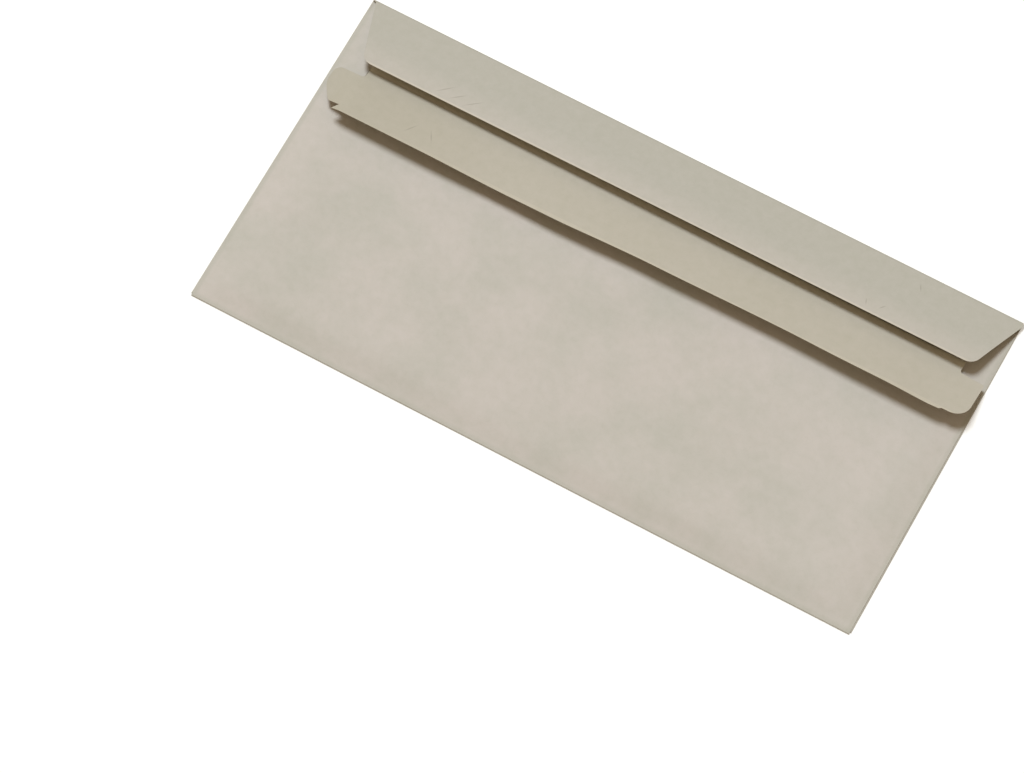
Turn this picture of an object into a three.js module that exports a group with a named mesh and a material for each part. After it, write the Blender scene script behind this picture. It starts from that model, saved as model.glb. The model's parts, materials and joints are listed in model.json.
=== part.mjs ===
// Self-seal envelope of the long business size. One die-cut sheet of paper is folded round a flat
// pocket: the address panel lies underneath, the two side flaps fold in over it, and the back panel
// folds up from the bottom and is glued to them. The closing flap hangs on the top edge of the
// address panel. The counter flap hangs on the top edge of the back panel and lies folded outwards.
// Each carries a strip of latex gum, and the two strips stick only to each other.
// Units are millimetres and +Z is up. The envelope lies on its address panel, the sealing edge is
// at +Y, and the origin is the middle of the address panel's outer face.
import * as THREE from 'three';

// Sheet
const envelopeWidth = 220; // side fold to side fold
const envelopeHeight = 110; // bottom fold to top fold
const paperThickness = 0.12;

// Side flaps and the seams on them
const sideFoldRadius = 0.5; // outside of the fold, as all fold radii here
const sideFlapPastNotch = 8; // reach of the flap beyond the notch that shows it
const sideFlapEndClearance = 0.8; // to the bottom and top folds
const sideFlapCornerCut = 6;
const seamGlueThickness = 0.04;
const seamGlueWidth = 8;
const seamGlueFromSide = 4;
const seamGlueEndMargin = 6;

// Back panel, with a notch at each end of its top fold that is cut into the counter flap too
const backPanelSideInset = 0.6;
const notchWidth = 10; // from the side fold
const notchDepth = 5.6; // to either side of the counter flap's fold
const notchCornerRadius = 1;

// Closing flap
const closingFoldRadius = 0.6;
const closingFlapOverlap = 2.8; // reach beyond the counter flap's fold
const closingFlapSideInset = 0.5; // at the fold
const closingFlapTaper = THREE.MathUtils.degToRad(19);
const closingFlapCornerRadius = 4;
const closingFlapLift = THREE.MathUtils.degToRad(15); // off the back, as the crease holds it

// Counter flap
const counterFoldFromTop = 19.5;
const counterFoldRadius = 0.5;
const counterFlapShortfall = 0.2; // left to the top fold when the flap is turned up
const counterFlapSideInset = 1.5;
const counterFlapCornerRadius = 5;
const earCornerRadius = 1.5;
const nickFromSide = 8; // die nicks in the free edge
const nickLength = 2;
const nickDepth = 0.6;
const counterFlapLift = THREE.MathUtils.degToRad(15);

// Latex gum
const gumThickness = 0.04;
const gumWidth = 12;
const gumFromCounterFold = 1.5;
const gumEndMargin = 2; // to the notches

// Clearances that let the flaps swing
const creaseClearance = 0.3; // a flap's edge to its crease
const gumClearance = 0.05; // a strip to the flap that carries it

// Faces of round stretches
const foldSegments = 12; // in a half turn
const cornerSegments = 8; // in a corner

// Levels, each from the one below
const sideFlapTop = 2 * sideFoldRadius;
const sideFlapBottom = sideFlapTop - paperThickness;
const backPanelBottom = sideFlapTop + seamGlueThickness;
const backPanelTop = backPanelBottom + paperThickness;
const bottomFoldRadius = backPanelTop / 2;

// Outlines seen from above
const halfWidth = envelopeWidth / 2;
const halfHeight = envelopeHeight / 2;
const sideFoldAxisX = halfWidth - sideFoldRadius;
const bottomFoldAxisY = -halfHeight + bottomFoldRadius;
const closingAxisY = halfHeight - closingFoldRadius;
const counterFoldY = halfHeight - counterFoldFromTop;
const counterAxisY = counterFoldY - counterFoldRadius;
const counterAxisZ = backPanelBottom + counterFoldRadius;
const notchInnerX = halfWidth - notchWidth;
const notchBottomY = counterFoldY - notchDepth;
const closingFlapDepth = counterFoldFromTop + closingFlapOverlap;
const counterFlapDepth = counterFoldFromTop - counterFlapShortfall;

const paperColour = 0xc6bfb4;
const innerPaperColour = 0xbcb5a3;
const gumColour = 0xd2cfc0;
const glueColour = 0xd8d2c0;

function material(color, roughness) {
  return new THREE.MeshStandardMaterial({ color, roughness, metalness: 0 });
}

const paper = () => material(paperColour, 0.85);
const innerPaper = () => material(innerPaperColour, 0.88);
const gum = () => material(gumColour, 0.45);
const glue = () => material(glueColour, 0.5);

// Closed outline through the corners given as [x, y, radius], each rounded to its radius
function roundedOutline(corners) {
  const points = corners.map(([x, y]) => new THREE.Vector2(x, y));
  return new THREE.Shape(corners.flatMap(([, , radius = 0], i) => {
    const corner = points[i];
    const before = points.at(i - 1).clone().sub(corner).normalize();
    const after = points[(i + 1) % points.length].clone().sub(corner).normalize();
    return radius > 0 ? arcBetween(corner, before, after, radius) : [corner];
  }));
}

// Points of the arc that rounds a corner between its two directions
function arcBetween(corner, before, after, radius) {
  const halfAngle = Math.acos(before.dot(after)) / 2;
  const towardsCentre = before.clone().add(after).normalize();
  const centre = corner.clone().addScaledVector(towardsCentre, radius / Math.sin(halfAngle));
  const start = corner.clone().addScaledVector(before, radius / Math.tan(halfAngle)).sub(centre);
  const turn = Math.sign(after.cross(before)) * (Math.PI - 2 * halfAngle);
  return Array.from({ length: cornerSegments + 1 }, (_, step) =>
    start.clone().rotateAround(new THREE.Vector2(), turn * step / cornerSegments).add(centre));
}

// Closed outline of one half, from top to bottom on the right, and its mirror image on the left
function mirroredOutline(rightCorners) {
  const left = rightCorners.map(([x, y, radius]) => [-x, y, radius]).reverse();
  return roundedOutline([...rightCorners, ...left]);
}

// Flat layer from a level upwards
function layer(name, outline, bottom, thickness, finish) {
  const geometry = new THREE.ExtrudeGeometry(outline, { depth: thickness, bevelEnabled: false });
  const mesh = new THREE.Mesh(geometry, finish);
  mesh.name = name;
  mesh.position.z = bottom;
  return mesh;
}

// Paper bent round an axis, from straight below it, outwards and up through the turn
function foldStrip(name, { radius, turn, length, outward, position }) {
  const steps = Math.round(foldSegments * turn / Math.PI);
  const ring = (r, angles) => angles.map((a) => new THREE.Vector2(r * Math.sin(a), -r * Math.cos(a)));
  const angles = Array.from({ length: steps + 1 }, (_, step) => turn * step / steps);
  const section = new THREE.Shape([
    ...ring(radius, angles),
    ...ring(radius - paperThickness, angles.toReversed()),
  ]);
  const geometry = new THREE.ExtrudeGeometry(section, { depth: length, bevelEnabled: false });
  geometry.translate(0, 0, -length / 2);
  const mesh = new THREE.Mesh(geometry, paper());
  mesh.name = name;
  const up = new THREE.Vector3(0, 0, 1);
  const along = outward.clone().cross(up);
  mesh.setRotationFromMatrix(new THREE.Matrix4().makeBasis(outward, up, along));
  mesh.position.copy(position);
  return mesh;
}

function frontPanel() {
  return layer('front_panel', mirroredOutline([
    [sideFoldAxisX, closingAxisY],
    [sideFoldAxisX, bottomFoldAxisY],
  ]), 0, paperThickness, paper());
}

// Address panel's side flap, its outer face up
function sideFlap(name, side) {
  const innerX = notchInnerX - sideFlapPastNotch;
  const top = closingAxisY - sideFlapEndClearance;
  const bottom = bottomFoldAxisY + sideFlapEndClearance;
  const outline = roundedOutline([
    [side * sideFoldAxisX, top],
    [side * (innerX + sideFlapCornerCut), top],
    [side * innerX, top - sideFlapCornerCut],
    [side * innerX, bottom + sideFlapCornerCut],
    [side * (innerX + sideFlapCornerCut), bottom],
    [side * sideFoldAxisX, bottom],
  ]);
  return layer(name, outline, sideFlapBottom, paperThickness, paper());
}

function sideFold(name, side) {
  return foldStrip(name, {
    radius: sideFoldRadius,
    turn: Math.PI,
    length: closingAxisY - bottomFoldAxisY,
    outward: new THREE.Vector3(side, 0, 0),
    position: new THREE.Vector3(
      side * sideFoldAxisX, (closingAxisY + bottomFoldAxisY) / 2, sideFoldRadius),
  });
}

function seamGlue(name, side) {
  const outerX = halfWidth - seamGlueFromSide;
  const outline = roundedOutline([
    [side * outerX, notchBottomY - seamGlueEndMargin],
    [side * (outerX - seamGlueWidth), notchBottomY - seamGlueEndMargin],
    [side * (outerX - seamGlueWidth), bottomFoldAxisY + seamGlueEndMargin],
    [side * outerX, bottomFoldAxisY + seamGlueEndMargin],
  ]);
  return layer(name, outline, sideFlapTop, seamGlueThickness, glue());
}

function bottomFold() {
  return foldStrip('bottom_fold', {
    radius: bottomFoldRadius,
    turn: Math.PI,
    length: 2 * sideFoldAxisX,
    outward: new THREE.Vector3(0, -1, 0),
    position: new THREE.Vector3(0, bottomFoldAxisY, bottomFoldRadius),
  });
}

function backPanel() {
  const sideX = halfWidth - backPanelSideInset;
  return layer('back_panel', mirroredOutline([
    [notchInnerX, counterAxisY],
    [notchInnerX, notchBottomY, notchCornerRadius],
    [sideX, notchBottomY, notchCornerRadius],
    [sideX, bottomFoldAxisY],
  ]), backPanelBottom, paperThickness, paper());
}

// Crease of a flap: the bend that stays on the panel, up to where the lifted flap takes over
function crease(name, radius, lift, length, axisY, axisZ) {
  return foldStrip(name, {
    radius,
    turn: Math.PI - lift,
    length,
    outward: new THREE.Vector3(0, 1, 0),
    position: new THREE.Vector3(0, axisY, axisZ),
  });
}

// Distance from a crease's axis at which a flap can start and still swing clear of the crease
function flapStart(radius) {
  return Math.sqrt(paperThickness * (2 * radius - paperThickness)) + creaseClearance;
}

// Flap with its gum on the lower face, drawn lying flat and swung up about its crease
function swungFlap({ name, outline, radius, lift, axisY, axisZ, gumNear, finish }) {
  const hinge = new THREE.Group();
  hinge.position.set(0, axisY, axisZ);
  hinge.rotation.x = -lift;
  const flapBottom = radius - paperThickness;
  const strip = mirroredOutline([
    [notchInnerX - gumEndMargin, -gumNear],
    [notchInnerX - gumEndMargin, -(gumNear + gumWidth)],
  ]);
  hinge.add(layer(name, outline, flapBottom, paperThickness, finish));
  hinge.add(layer(`${name}_gum`, strip, flapBottom - gumClearance - gumThickness, gumThickness, gum()));
  return hinge;
}

// Closing flap, tapered to its free edge
function closingFlap() {
  const start = flapStart(closingFoldRadius);
  const end = closingFlapDepth - closingFoldRadius;
  const sideX = halfWidth - closingFlapSideInset;
  const narrowing = Math.tan(closingFlapTaper) * (end - start);
  return swungFlap({
    name: 'closing_flap',
    outline: mirroredOutline([
      [sideX, -start],
      [sideX - narrowing, -end, closingFlapCornerRadius],
    ]),
    radius: closingFoldRadius,
    lift: closingFlapLift,
    axisY: closingAxisY,
    axisZ: closingFoldRadius,
    gumNear: counterFoldFromTop - gumFromCounterFold - gumWidth - closingFoldRadius,
    finish: paper(),
  });
}

// Counter flap, narrow between the notches and full width in its ears, inner face up
function counterFlap() {
  const earTop = notchDepth - counterFoldRadius;
  const end = counterFlapDepth - counterFoldRadius;
  const sideX = halfWidth - counterFlapSideInset;
  const nickX = halfWidth - nickFromSide;
  return swungFlap({
    name: 'counter_flap',
    outline: mirroredOutline([
      [notchInnerX, -flapStart(counterFoldRadius)],
      [notchInnerX, -earTop, notchCornerRadius],
      [sideX, -earTop, earCornerRadius],
      [sideX, -end, counterFlapCornerRadius],
      [nickX, -end],
      [nickX - nickLength / 2, -end + nickDepth],
      [nickX - nickLength, -end],
    ]),
    radius: counterFoldRadius,
    lift: counterFlapLift,
    axisY: counterAxisY,
    axisZ: counterAxisZ,
    gumNear: gumFromCounterFold - counterFoldRadius,
    finish: innerPaper(),
  });
}

const group = new THREE.Group();
group.add(frontPanel(), bottomFold(), backPanel());
for (const [hand, side] of [['left', -1], ['right', 1]]) {
  group.add(sideFold(`${hand}_side_fold`, side));
  group.add(sideFlap(`${hand}_side_flap`, side));
  group.add(seamGlue(`${hand}_seam_glue`, side));
}
group.add(crease('closing_flap_crease', closingFoldRadius, closingFlapLift,
  2 * (halfWidth - closingFlapSideInset), closingAxisY, closingFoldRadius));
group.add(crease('counter_flap_crease', counterFoldRadius, counterFlapLift,
  2 * notchInnerX, counterAxisY, counterAxisZ));
group.add(closingFlap(), counterFlap());

export default group;
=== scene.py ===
"""Self-seal envelope of the long business size, folded from one die-cut sheet of recycled paper.

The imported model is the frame: its panels, creases and hinges give every level and width used here.
Lengths are millimetres until a mesh is written, and metres after that.
"""
from __future__ import annotations

import json
import logging
import math
from dataclasses import dataclass
from enum import Enum
from typing import Any, Callable, Iterable, Sequence

import bmesh
import bpy
from mathutils import Matrix, Vector, noise


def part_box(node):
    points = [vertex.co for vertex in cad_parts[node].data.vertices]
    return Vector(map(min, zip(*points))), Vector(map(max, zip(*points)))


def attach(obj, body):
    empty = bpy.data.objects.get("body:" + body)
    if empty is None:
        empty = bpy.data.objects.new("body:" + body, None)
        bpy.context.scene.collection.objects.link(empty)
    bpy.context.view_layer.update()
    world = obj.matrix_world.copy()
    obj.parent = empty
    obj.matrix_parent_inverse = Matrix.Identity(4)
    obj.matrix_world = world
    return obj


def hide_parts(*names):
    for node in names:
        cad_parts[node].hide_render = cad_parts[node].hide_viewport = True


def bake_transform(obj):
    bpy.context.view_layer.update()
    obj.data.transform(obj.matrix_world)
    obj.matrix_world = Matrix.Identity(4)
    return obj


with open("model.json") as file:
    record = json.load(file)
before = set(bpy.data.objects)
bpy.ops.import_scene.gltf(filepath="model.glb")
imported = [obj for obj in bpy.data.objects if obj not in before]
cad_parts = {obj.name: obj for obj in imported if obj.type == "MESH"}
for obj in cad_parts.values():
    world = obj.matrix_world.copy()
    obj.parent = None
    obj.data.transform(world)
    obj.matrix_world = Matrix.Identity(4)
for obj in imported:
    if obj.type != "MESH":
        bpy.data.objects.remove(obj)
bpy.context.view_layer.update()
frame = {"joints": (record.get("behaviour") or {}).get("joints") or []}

log = logging.getLogger("envelope")

MM = 0.001
PATTERN_MAP = "Pattern"
CUT_SHIFT = 0.9  # how far the die cut the flaps and notches off the middle
CELL = 2.5  # size of a flat cell of the paper
CUT_TOLERANCE = 1e-4  # a cut runs through a corner that is nearer than this
TINY = 1e-9  # lengths and curvatures below this count as none
SHARP_ANGLE = math.radians(50)

Place = Callable[[float, float, float], Vector]
Triple = tuple[float, float, float]
Corner = Triple  # place of an outline's corner and its radius
Tree = bpy.types.NodeTree
Node = bpy.types.Node
Material = bpy.types.Material
Object = bpy.types.Object


class Body(Enum):
    """Moving bodies of the frame."""

    POCKET = "pocket"
    CLOSING_FLAP = "closing_flap"
    COUNTER_FLAP = "counter_flap"


class Slot(Enum):
    """Material slots of the record."""

    PAPER_OUTER = "paper_outer"
    PAPER_INNER = "paper_inner"
    LATEX_GUM = "latex_gum"
    SEAM_GLUE = "seam_glue"


class Side(Enum):
    """Hand of a piece, seen with the closing flap at the top."""

    LEFT = -1
    RIGHT = 1


def corners_of(node: str) -> tuple[Vector, Vector]:
    """Lowest and highest corner of a node of the frame, in millimetres."""
    low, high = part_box(node)
    return low / MM, high / MM


def hinge_of(name: str) -> Vector:
    """Point on the axis of a hinge of the frame, in millimetres."""
    joint = next(j for j in frame["joints"] if j["name"] == name)
    return Vector(joint["pos_m"]) / MM


def in_scene(name: str, data: bpy.types.ID) -> Object:
    """Object of the scene, at the origin, that shows a mesh, a lamp or a camera.

    Args:
        name: Name of the object.
        data: What it shows.

    Returns:
        The object.
    """
    obj = bpy.data.objects.new(name, data)
    bpy.context.scene.collection.objects.link(obj)
    return obj


def finished_piece(name: str, shape: bmesh.types.BMesh, finishes: Iterable[Material]) -> Object:
    """Turns a closed shape into a piece with its faces outwards and its cut edges sharp.

    Args:
        name: Name of the piece.
        shape: The shape, in metres and in its place. It is freed.
        finishes: Materials, in the order of the faces' numbers.

    Returns:
        The piece's object.
    """
    bmesh.ops.recalc_face_normals(shape, faces=shape.faces[:])
    mesh = bpy.data.meshes.new(name)
    shape.to_mesh(mesh)
    shape.free()
    for finish in finishes:
        mesh.materials.append(finish)
    mesh.set_sharp_from_angle(angle=SHARP_ANGLE)
    return in_scene(name, mesh)


# Lines and sections

def ease(value: float, start: float, end: float) -> float:
    """Smooth step of a value from 0 at start to 1 at end."""
    t = min(max((value - start) / (end - start), 0.0), 1.0)
    return t * t * (3 - 2 * t)


def through(points: Sequence[tuple[float, float]], x: float) -> float:
    """Height of a smooth line through a few points.

    Args:
        points: Places along the line and the height at each, from left to right.
        x: Place at which the height is asked for.

    Returns:
        The height, which eases from each point to the next and is level outside them.
    """
    if x <= points[0][0]:
        return points[0][1]
    for (x0, h0), (x1, h1) in zip(points, points[1:]):
        if x <= x1:
            return h0 + (h1 - h0) * ease(x, x0, x1)
    return points[-1][1]


def rounded_outline(corners: Iterable[Corner], steps: int = 8) -> list[tuple[float, float]]:
    """Closed outline with round corners.

    Args:
        corners: Place and radius of each corner, in order round the outline.
        steps: Segments in a round corner.

    Returns:
        The points of the outline.
    """
    listed = list(corners)
    points: list[tuple[float, float]] = []
    for i, (x, y, radius) in enumerate(listed):
        if radius <= 0:
            points.append((x, y))
            continue
        corner = Vector((x, y))
        before = (Vector(listed[i - 1][:2]) - corner).normalized()
        after = (Vector(listed[(i + 1) % len(listed)][:2]) - corner).normalized()
        half = math.acos(max(-1.0, min(1.0, before.dot(after)))) / 2
        centre = corner + (before + after).normalized() * (radius / math.sin(half))
        start = corner + before * (radius / math.tan(half)) - centre
        turn = math.copysign(math.pi - 2 * half, after.x * before.y - after.y * before.x)
        for step in range(steps + 1):
            points.append(tuple(Matrix.Rotation(turn * step / steps, 2) @ start + centre))
    return points


def even_cuts(start: float, end: float, pitch: float) -> list[float]:
    """Evenly spaced places strictly between two ends, no further apart than the pitch."""
    count = max(1, math.ceil(abs(end - start) / pitch))
    return [start + (end - start) * i / count for i in range(1, count)]


@dataclass(frozen=True)
class Bend:
    """Stretch of a paper section with one curvature, as its length and its angles at both ends."""

    length: float
    start: float
    end: float


@dataclass
class Section:
    """Section of the paper across a fold: bends that follow each other, outward, up and back over.

    The line is the paper's face on the outside of the fold. Heading 0 is outward and pi is back.
    """

    out: float
    up: float
    bends: list[Bend]

    def at(self, run: float, depth: float = 0.0) -> tuple[float, float]:
        """Point of the section.

        Args:
            run: Length along the paper from the section's start.
            depth: Distance below the outside face, towards the inside of the fold.

        Returns:
            How far out and how far up the point lies.
        """
        out, up = self.out, self.up
        left = run
        for bend in self.bends:
            step = left if bend is self.bends[-1] else min(left, bend.length)
            rate = (bend.end - bend.start) / bend.length
            heading = bend.start + rate * step
            if abs(rate) > TINY:
                out += (math.sin(heading) - math.sin(bend.start)) / rate
                up -= (math.cos(heading) - math.cos(bend.start)) / rate
            else:
                out += math.cos(heading) * step
                up += math.sin(heading) * step
            left -= step
            if left <= TINY:
                break
        return out - math.sin(heading) * depth, up + math.cos(heading) * depth

    def run_of(self, count: int) -> float:
        """Length of the first bends."""
        return sum(bend.length for bend in self.bends[:count])


def soft_fold(height: float, tail: float, tail_angle: float) -> list[Bend]:
    """Fold of a half turn whose paper rises gently before and after a tight middle.

    Args:
        height: From the outside face below to the outside face above.
        tail: Length of each gentle stretch.
        tail_angle: Heading reached at the end of the first gentle stretch.

    Returns:
        The three bends of the fold.
    """
    tail_rise = tail * (1 - math.cos(tail_angle)) / tail_angle
    radius = (height / 2 - tail_rise) / math.cos(tail_angle)
    turned = math.pi - tail_angle
    return [
        Bend(tail, 0.0, tail_angle),
        Bend(radius * (turned - tail_angle), tail_angle, turned),
        Bend(tail, turned, math.pi),
    ]


def fold_size(bends: list[Bend], samples: int = 400) -> tuple[float, float]:
    """Measures a half turn fold.

    Args:
        bends: The bends of the fold.
        samples: Points at which it is measured.

    Returns:
        The paper's length in the fold, and how far out it goes from its start.
    """
    section = Section(0.0, 0.0, bends)
    run = section.run_of(len(bends))
    return run, max(section.at(run * i / samples)[0] for i in range(samples + 1))


# Colours and materials

def linear(code: int) -> tuple[float, ...]:
    """Colour for a shader from an sRGB hex value."""
    channels = (((code >> shift) & 255) / 255 for shift in (16, 8, 0))
    return *(c / 12.92 if c <= 0.04045 else ((c + 0.055) / 1.055) ** 2.4 for c in channels), 1.0


def per_metre(size: float) -> float:
    """Scale of a pattern whose features are this many millimetres wide."""
    return 1 / (size * MM)


def add_node(tree: Tree, kind: str, inputs: dict[str | int, Any] | None = None,
             **settings: Any) -> Node:
    """Adds a node with its settings and links.

    Args:
        tree: Node tree that gets the node.
        kind: Type name of the node.
        inputs: Input sockets by name or place, each with a value, an output socket to link, or a
            node whose first output is linked.
        **settings: Properties of the node and their values.

    Returns:
        The node.
    """
    node = tree.nodes.new(kind)
    for name, value in settings.items():
        setattr(node, name, value)
    for name, value in (inputs or {}).items():
        source = value.outputs[0] if isinstance(value, Node) else value
        if isinstance(source, bpy.types.NodeSocket):
            tree.links.new(source, node.inputs[name])
        else:
            node.inputs[name].default_value = source
    return node


def new_material(name: str) -> tuple[Material, Tree]:
    """Starts a material.

    Args:
        name: Name of the material.

    Returns:
        The material and its empty node tree.
    """
    material = bpy.data.materials.new(name)
    material.use_nodes = True
    material.node_tree.nodes.clear()
    return material, material.node_tree


def close_material(tree: Tree, relief: Node, relief_height: float, shading: dict[str, Any],
                   under: Node | None = None) -> None:
    """Ends a material with a raised pattern and its shader.

    Args:
        tree: The material's node tree.
        relief: Pattern whose first output is the height.
        relief_height: Height of the raised pattern.
        shading: Inputs of the shader.
        under: Finer relief that the pattern lies over.
    """
    lower = {} if under is None else {"Normal": under}
    bump = add_node(tree, "ShaderNodeBump", {
        "Height": relief, "Distance": relief_height * MM, **lower})
    shader = add_node(tree, "ShaderNodeBsdfPrincipled", {**shading, "Normal": bump})
    add_node(tree, "ShaderNodeOutputMaterial", {"Surface": shader})


class Axis(Enum):
    """Axis of the die-cut blank, as the output of a node that separates a vector."""

    ACROSS = "X"
    ALONG = "Y"


@dataclass(frozen=True)
class ToneBand:
    """Straight band of the blank in another tone, which mostly paints light or shade.

    A mirrored band lies on both sides of the middle. The slope tilts the band against its axis.
    """

    colour: int
    share: float
    centre: float
    half_width: float
    fade: float
    axis: Axis = Axis.ALONG
    mirrored: bool = False
    slope: float = 0.0


@dataclass(frozen=True)
class ScuffOrShadeLine:
    """Short soft stroke between two places on the blank, for a scratch in the paper or a painted
    shade line.
    """

    start: tuple[float, float]
    end: tuple[float, float]
    width: float = 0.5
    share: float = 0.6
    colour: int = 0x8E8777


@dataclass(frozen=True)
class Pattern:
    """Random pattern of the paper: the size of its features, its octaves and their strength."""

    size: float
    detail: float
    roughness: float


@dataclass(frozen=True)
class RecycledPaper:
    """Machine-finished recycled paper, made from mixed pulp and lightly calendered.

    To the eye it is a dull beige sheet with soft clouds from uneven pulp, a fine mottle, a faint
    fibre tooth that the light only just catches, and a broad, weak gloss. Its tone bands paint
    shade and light onto it, and its strokes add scratches and a painted shade line.
    """

    name: str
    colour: int
    cloud_colour: int
    fleck_colour: int
    bands: tuple[ToneBand, ...]
    scuffs_and_shade_lines: tuple[ScuffOrShadeLine, ...]
    cloud_share: float
    fleck_share: float = 0.3
    mottle_depth: float = 0.09
    mottle_tint: Triple = (1.0, 0.9, 1.3)
    cloud_range: tuple[float, float] = (0.4, 0.64)
    fleck_range: tuple[float, float] = (0.56, 0.8)
    tooth_height: float = 0.010
    cockle_height: float = 0.08
    roughness: float = 0.6
    clouds: Pattern = Pattern(32.0, 5.0, 0.66)
    flecks: Pattern = Pattern(1.5, 4.0, 0.7)
    mottle: Pattern = Pattern(3.0, 3.0, 0.75)
    cockles: Pattern = Pattern(12.0, 1.0, 0.5)
    # Real pulp fibres are 0.03 mm thick. Ten times that is the finest that shows in the picture.
    fibres: Pattern = Pattern(0.3, 3.0, 0.6)

    def tinted(self, tree: Tree, base: Any, mask: Node, colour: int) -> bpy.types.NodeSocket:
        """Mixes a colour over a base, a colour or a socket, where a mask says so."""
        return add_node(tree, "ShaderNodeMix", {0: mask, 6: base, 7: linear(colour)},
                        data_type="RGBA").outputs[2]

    def band_mask(self, tree: Tree, parts: Node, band: ToneBand) -> Node:
        """Masks a band, with its share inside and a fade beside it.

        Args:
            tree: The material's node tree.
            parts: Separated place on the blank.
            band: The band.

        Returns:
            The node whose output is the mask.
        """
        other = Axis.ACROSS if band.axis is Axis.ALONG else Axis.ALONG
        place = add_node(tree, "ShaderNodeMath", {
            0: parts.outputs[other.value], 1: band.slope, 2: parts.outputs[band.axis.value],
        }, operation="MULTIPLY_ADD")
        if band.mirrored:
            place = add_node(tree, "ShaderNodeMath", {0: place}, operation="ABSOLUTE")
        away = add_node(tree, "ShaderNodeMath", {0: place, 1: band.centre * MM},
                        operation="SUBTRACT")
        distance = add_node(tree, "ShaderNodeMath", {0: away}, operation="ABSOLUTE")
        return add_node(tree, "ShaderNodeMapRange", {
            "Value": distance, "From Min": band.half_width * MM,
            "From Max": (band.half_width + band.fade) * MM, "To Min": band.share, "To Max": 0.0,
        }, interpolation_type="SMOOTHSTEP")

    def scuff_or_line_mask(self, tree: Tree, place: Node, scuff_or_line: ScuffOrShadeLine) -> Node:
        """Masks a scratch or a painted shade line, a soft-edged stroke that is strongest in its
        middle.

        Args:
            tree: The material's node tree.
            place: Place on the blank.
            scuff_or_line: The scratch or the painted shade line.

        Returns:
            The node whose output is the mask.
        """
        start, end = Vector(scuff_or_line.start), Vector(scuff_or_line.end)
        middle, run = (start + end) / 2, end - start
        turned = add_node(tree, "ShaderNodeMapping", {
            "Vector": place, "Location": (middle.x * MM, middle.y * MM, 0.0),
            "Rotation": (0.0, 0.0, math.atan2(run.y, run.x)),
            "Scale": (run.length / 2 * MM, scuff_or_line.width / 2 * MM, 1.0)}, vector_type="TEXTURE")
        away = add_node(tree, "ShaderNodeVectorMath", {0: turned}, operation="LENGTH")
        return add_node(tree, "ShaderNodeMapRange", {
            "Value": away.outputs["Value"], "From Min": 0.0, "From Max": 1.0,
            "To Min": scuff_or_line.share, "To Max": 0.0}, interpolation_type="SMOOTHSTEP")

    def mottled(self, tree: Tree, spots: Node, colour: bpy.types.NodeSocket) -> Node:
        """Darkens and lightens a colour in small spots, and its blue the most, as pulp does.

        Args:
            tree: The material's node tree.
            spots: Pattern of the spots.
            colour: The colour.

        Returns:
            The node whose output is the mottled colour.
        """
        dark, light = (tuple(1 + sign * self.mottle_depth * part for part in self.mottle_tint)
                       for sign in (-1, 1))
        tint = add_node(tree, "ShaderNodeMix", {0: spots, 6: (*dark, 1.0), 7: (*light, 1.0)},
                        data_type="RGBA")
        return add_node(tree, "ShaderNodeVectorMath", {0: colour, 1: tint.outputs[2]},
                        operation="MULTIPLY")

    def make(self) -> Material:
        """Builds the material on the coordinates of the blank.

        Returns:
            The material.
        """
        material, tree = new_material(self.name)
        place = add_node(tree, "ShaderNodeUVMap", uv_map=PATTERN_MAP)
        parts = add_node(tree, "ShaderNodeSeparateXYZ", {0: place})
        clouds, flecks, mottle, cockles, fibres = (
            add_node(tree, "ShaderNodeTexNoise", {
                "Vector": place, "Scale": per_metre(pattern.size), "Detail": pattern.detail,
                "Roughness": pattern.roughness})
            for pattern in (self.clouds, self.flecks, self.mottle, self.cockles, self.fibres))
        cloudy = add_node(tree, "ShaderNodeMapRange", {
            "Value": clouds, "From Min": self.cloud_range[0], "From Max": self.cloud_range[1],
            "To Max": self.cloud_share})
        colour = self.tinted(tree, linear(self.colour), cloudy, self.cloud_colour)
        for band in self.bands:
            colour = self.tinted(tree, colour, self.band_mask(tree, parts, band), band.colour)
        flecked = add_node(tree, "ShaderNodeMapRange", {
            "Value": flecks, "From Min": self.fleck_range[0], "From Max": self.fleck_range[1],
            "To Max": self.fleck_share})
        colour = self.tinted(tree, colour, flecked, self.fleck_colour)
        for scuff_or_line in self.scuffs_and_shade_lines:
            colour = self.tinted(tree, colour, self.scuff_or_line_mask(tree, place, scuff_or_line), scuff_or_line.colour)
        tooth = add_node(tree, "ShaderNodeBump", {
            "Height": fibres, "Distance": self.tooth_height * MM})
        close_material(tree, cockles, self.cockle_height, {
            "Base Color": self.mottled(tree, mottle, colour), "Roughness": self.roughness}, tooth)
        return material


@dataclass(frozen=True)
class CutEdge:
    """Sheared edge of the paper, where the pulp shows without its pressed surface.

    To the eye it is a thin line, paler and rougher than the faces beside it.
    """

    name: str = "die_cut_paper_edge"
    colour: int = 0xD9D2C4
    grain_size: float = 0.25
    grain_height: float = 0.02
    roughness: float = 0.9

    def make(self) -> Material:
        """Builds the material.

        Returns:
            The material.
        """
        material, tree = new_material(self.name)
        place = add_node(tree, "ShaderNodeUVMap", uv_map=PATTERN_MAP)
        grain = add_node(tree, "ShaderNodeTexNoise", {
            "Vector": place, "Scale": per_metre(self.grain_size)})
        close_material(tree, grain, self.grain_height, {
            "Base Color": linear(self.colour), "Roughness": self.roughness})
        return material


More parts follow.
